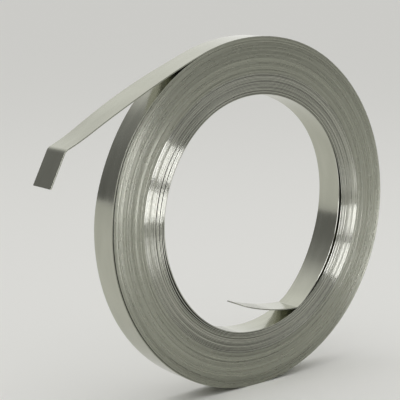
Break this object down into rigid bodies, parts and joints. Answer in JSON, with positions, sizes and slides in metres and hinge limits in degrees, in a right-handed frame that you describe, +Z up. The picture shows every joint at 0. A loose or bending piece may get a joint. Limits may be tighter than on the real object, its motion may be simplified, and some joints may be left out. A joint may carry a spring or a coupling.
{
  "type": "steel banding coil",
  "caption": "Coil of narrow stainless banding strip with an open bore, a bowed outer tail with a bent tip, and an inner end bent in as a tab.",
  "frame": {"origin": "on the floor, under the middle of the coil's box as it stands on its rim", "axes": "+Z up, +Y along the coil's axis from the front end to the back, +X across the coil, away from the side where the tail reaches out"},
  "size_m": [0.275, 0.019, 0.2322],
  "materials": {
    "steel": "bright rolled stainless, mirror-like on the flat of the strip, fine lines on the wound edges"
  },
  "bodies": {
    "root": {"banding_coil": "steel"}
  },
  "joints": []
}
